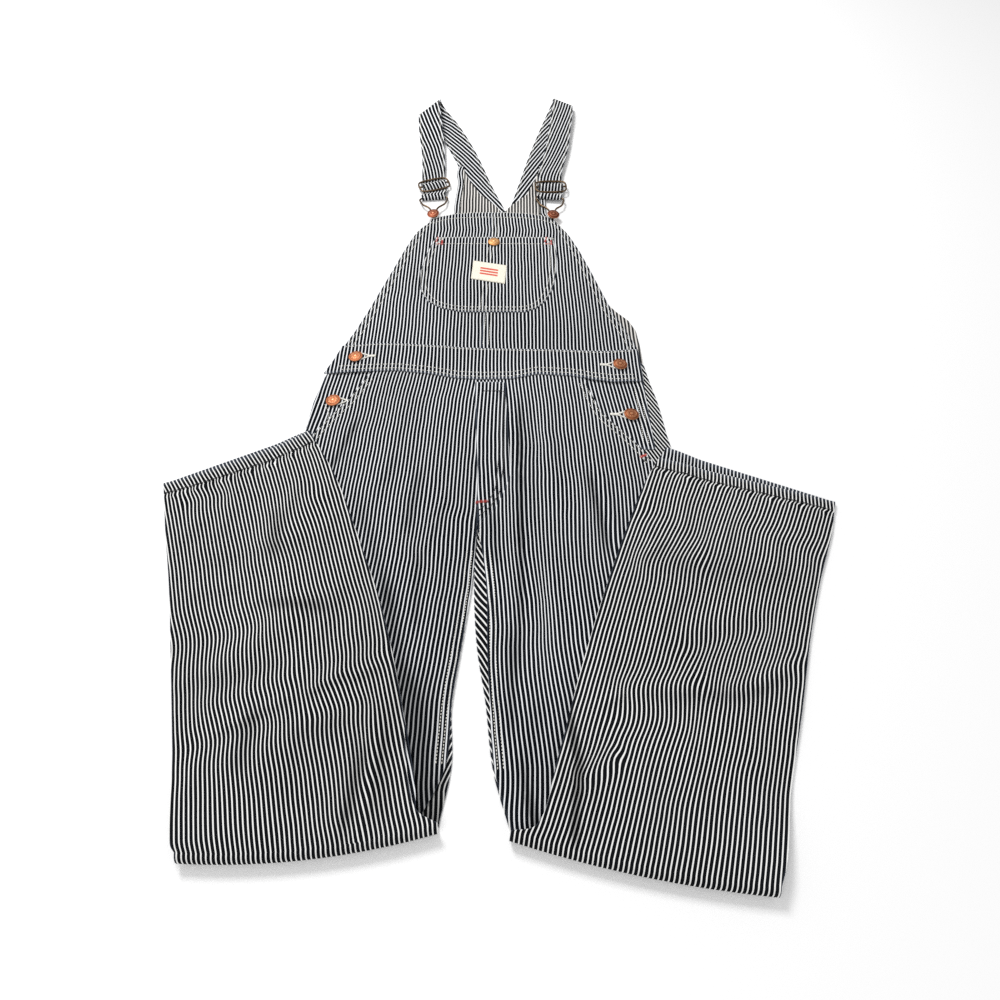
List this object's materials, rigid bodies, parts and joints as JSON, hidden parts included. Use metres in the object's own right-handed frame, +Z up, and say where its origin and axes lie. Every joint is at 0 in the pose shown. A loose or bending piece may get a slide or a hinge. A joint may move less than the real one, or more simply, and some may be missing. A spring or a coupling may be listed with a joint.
{
  "type": "dungarees",
  "caption": "Striped denim bib dungarees lying flat on their back, legs folded up and outward at the knee, with a bib pocket, sliding straps on wire buckles and buttoned sides.",
  "frame": {"origin": "the middle of the outline seen from above, on the surface that the garment lies on", "axes": "+Y from the folded knees to the shoulder folds of the straps, +Z up from the surface, +X to the viewer's right"},
  "size_m": [0.78, 1.2912, 0.0197],
  "materials": {
    "denim": "indigo and white stripe twill, matt",
    "denim_inside": "paler reverse of the striped twill, matt",
    "label_cloth": "woven cream tape",
    "thread_white": "white cotton thread",
    "thread_dark": "dark cotton thread",
    "thread_red": "red cotton thread",
    "copper": "worn copper plate with raised relief",
    "wire": "antique brass plated wire"
  },
  "bodies": {
    "root": {"back_upper_left": "denim_inside", "back_upper_right": "denim_inside", "leg_back_left": "denim", "leg_back_right": "denim", "leg_front_left": "denim", "leg_front_right": "denim", "bib_left": "denim", "bib_right": "denim", "waistband": "denim", "bib_pocket": "denim", "fly": "denim", "hip_facing_left": "denim", "hip_facing_right": "denim", "strap_left": "denim", "strap_right": "denim", "label": "label_cloth", "slide_left": "wire", "slide_right": "wire", "buckle_left": "wire", "buckle_right": "wire", "bib_button_left": "copper", "bib_button_right": "copper", "waist_button_left": "copper", "waist_button_right": "copper", "hip_button_left": "copper", "hip_button_right": "copper", "pocket_snap": "copper"}
  },
  "joints": []
}
